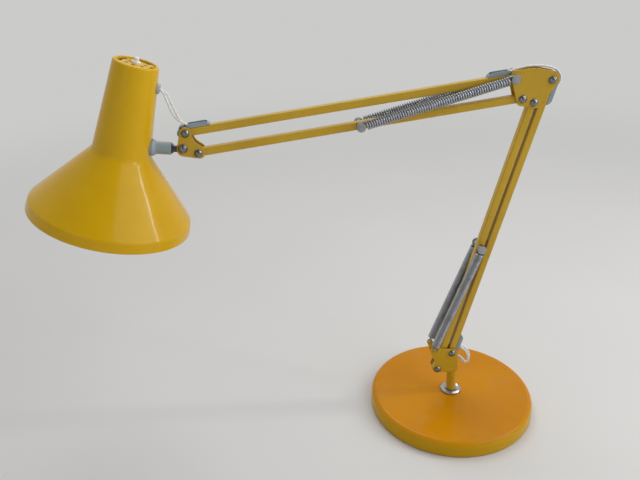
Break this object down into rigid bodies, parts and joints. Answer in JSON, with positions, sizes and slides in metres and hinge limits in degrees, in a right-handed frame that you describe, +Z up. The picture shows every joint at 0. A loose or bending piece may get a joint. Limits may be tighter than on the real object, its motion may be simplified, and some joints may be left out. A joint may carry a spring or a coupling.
{
  "type": "balanced-arm desk lamp",
  "caption": "Desk lamp with a round weighted base, a swivel bracket, spring-balanced parallel-link arms, and a conical spun shade with a top switch on a tilting stem.",
  "frame": {"origin": "centre of the base's underside, on the table", "axes": "+Z up, -X from the base towards the shade in the plane of the arms, +Y across the arms away from the viewer"},
  "size_m": [0.6487, 0.234, 0.5118],
  "materials": {
    "yellow_enamel": "glossy stove enamel",
    "chrome": "bright chrome",
    "zinc_steel": "zinc-plated steel",
    "dark_steel": "dark oiled steel",
    "grey_plastic": "satin blue-grey moulding",
    "white_flex": "white flexible sheath",
    "cast_iron": "rough casting",
    "felt": "pressed felt",
    "nylon": "natural nylon",
    "friction_lining": "hard fibre",
    "brass": "turned brass",
    "black_phenolic": "moulded phenolic",
    "bulb_glass": "opal glass",
    "bulb_metal": "plated screw cap",
    "white_plastic": "glossy white moulding"
  },
  "bodies": {
    "base": {"base_cover": "yellow_enamel", "base_weight": "cast_iron", "base_felt": "felt", "base_collar": "chrome", "collar_nut": "zinc_steel", "lead_gland": "grey_plastic", "flex_post_run": "white_flex"},
    "bracket": {"pivot_post": "yellow_enamel", "swivel_bracket": "yellow_enamel", "bracket_bolts": "chrome", "bracket_nuts": "chrome", "bracket_washers": "nylon", "flex_base_loop": "white_flex"},
    "lower_front_link": {"lower_front_tube": "yellow_enamel", "lower_front_bushes": "brass", "lower_spring_pin": "zinc_steel", "lower_spring_front": "zinc_steel", "lower_spring_back": "zinc_steel"},
    "lower_rear_link": {"lower_rear_tube": "yellow_enamel", "lower_rear_bushes": "brass", "lower_flex_guides": "grey_plastic", "flex_lower_run": "white_flex"},
    "elbow": {"elbow_plate_front": "yellow_enamel", "elbow_plate_back": "yellow_enamel", "elbow_bolts": "chrome", "elbow_nuts": "chrome", "elbow_washers": "nylon", "elbow_spring_pin": "zinc_steel", "flex_elbow_loop": "white_flex"},
    "upper_top_link": {"upper_top_tube": "yellow_enamel", "upper_top_bushes": "brass", "upper_flex_guide": "grey_plastic", "head_flex_guide": "grey_plastic", "flex_upper_run": "white_flex"},
    "upper_bottom_link": {"upper_bottom_tube": "yellow_enamel", "upper_bottom_bushes": "brass", "upper_spring_pin": "zinc_steel", "upper_spring_front": "zinc_steel", "upper_spring_back": "zinc_steel"},
    "knuckle": {"head_plate_front": "yellow_enamel", "head_plate_back": "yellow_enamel", "head_bolts": "chrome", "head_nuts": "chrome", "head_washers": "nylon", "tilt_bolt": "chrome", "tilt_nut": "chrome"},
    "stem": {"head_stem": "dark_steel", "tilt_washers": "friction_lining", "stem_nut": "zinc_steel"},
    "shade": {"shade_shell": "yellow_enamel", "shade_cap": "yellow_enamel", "stem_collar": "grey_plastic", "stem_saddle": "grey_plastic", "shade_grommet": "grey_plastic", "lampholder": "black_phenolic", "bulb_glass": "bulb_glass", "bulb_cap": "bulb_metal", "switch_bezel": "white_plastic", "flex_head_loop": "white_flex"},
    "switch": {"switch_button": "white_plastic"}
  },
  "joints": [
    {"name": "base_swivel", "type": "hinge", "parent": "base", "child": "bracket", "pos_m": [0, 0, 0.0266], "axis": [0, 0, 1], "range_deg": [-170, 170]},
    {"name": "lower_arm", "type": "hinge", "parent": "bracket", "child": "lower_rear_link", "pos_m": [-0.0043, 0, 0.0903], "axis": [0, -1, 0], "range_deg": [-5, 50], "deforming": ["flex_base_loop"]},
    {"name": "lower_front_pivot", "type": "hinge", "parent": "bracket", "child": "lower_front_link", "pos_m": [-0.0238, 0, 0.0643], "axis": [0, -1, 0], "range_deg": [-5, 50], "deforming": ["lower_spring_front", "lower_spring_back"]},
    {"name": "elbow_level", "type": "hinge", "parent": "lower_rear_link", "child": "elbow", "pos_m": [0.09005, 0, 0.46871], "axis": [0, -1, 0], "range_deg": [-50, 5], "deforming": ["flex_elbow_loop"]},
    {"name": "upper_arm", "type": "hinge", "parent": "elbow", "child": "upper_top_link", "pos_m": [0.04395, 0, 0.47191], "axis": [0, 1, 0], "range_deg": [-35, 45]},
    {"name": "upper_bottom_pivot", "type": "hinge", "parent": "elbow", "child": "upper_bottom_link", "pos_m": [0.05655, 0, 0.44732], "axis": [0, 1, 0], "range_deg": [-35, 45], "deforming": ["upper_spring_front", "upper_spring_back"]},
    {"name": "head_level", "type": "hinge", "parent": "upper_top_link", "child": "knuckle", "pos_m": [-0.34, 0, 0.42341], "axis": [0, 1, 0], "range_deg": [-45, 35]},
    {"name": "head_tilt", "type": "hinge", "parent": "knuckle", "child": "stem", "pos_m": [-0.3448, 0, 0.40521], "axis": [0, 1, 0], "range_deg": [-45, 30], "deforming": ["flex_head_loop"]},
    {"name": "shade_roll", "type": "hinge", "parent": "stem", "child": "shade", "pos_m": [-0.34507, 0, 0.40283], "axis": [-0.9936, 0, 0.1132], "range_deg": [-45, 45]},
    {"name": "switch_press", "type": "slide", "parent": "shade", "child": "switch", "axis": [0.2957, 0, 0.9553], "range_m": [-0.0025, 0], "stiffness_N_per_m": 400}
  ],
  "couplings": [
    {"joint": "lower_front_pivot", "follows": "lower_arm", "ratio": 1},
    {"joint": "elbow_level", "follows": "lower_arm", "ratio": -1},
    {"joint": "upper_bottom_pivot", "follows": "upper_arm", "ratio": 1},
    {"joint": "head_level", "follows": "upper_arm", "ratio": -1}
  ]
}
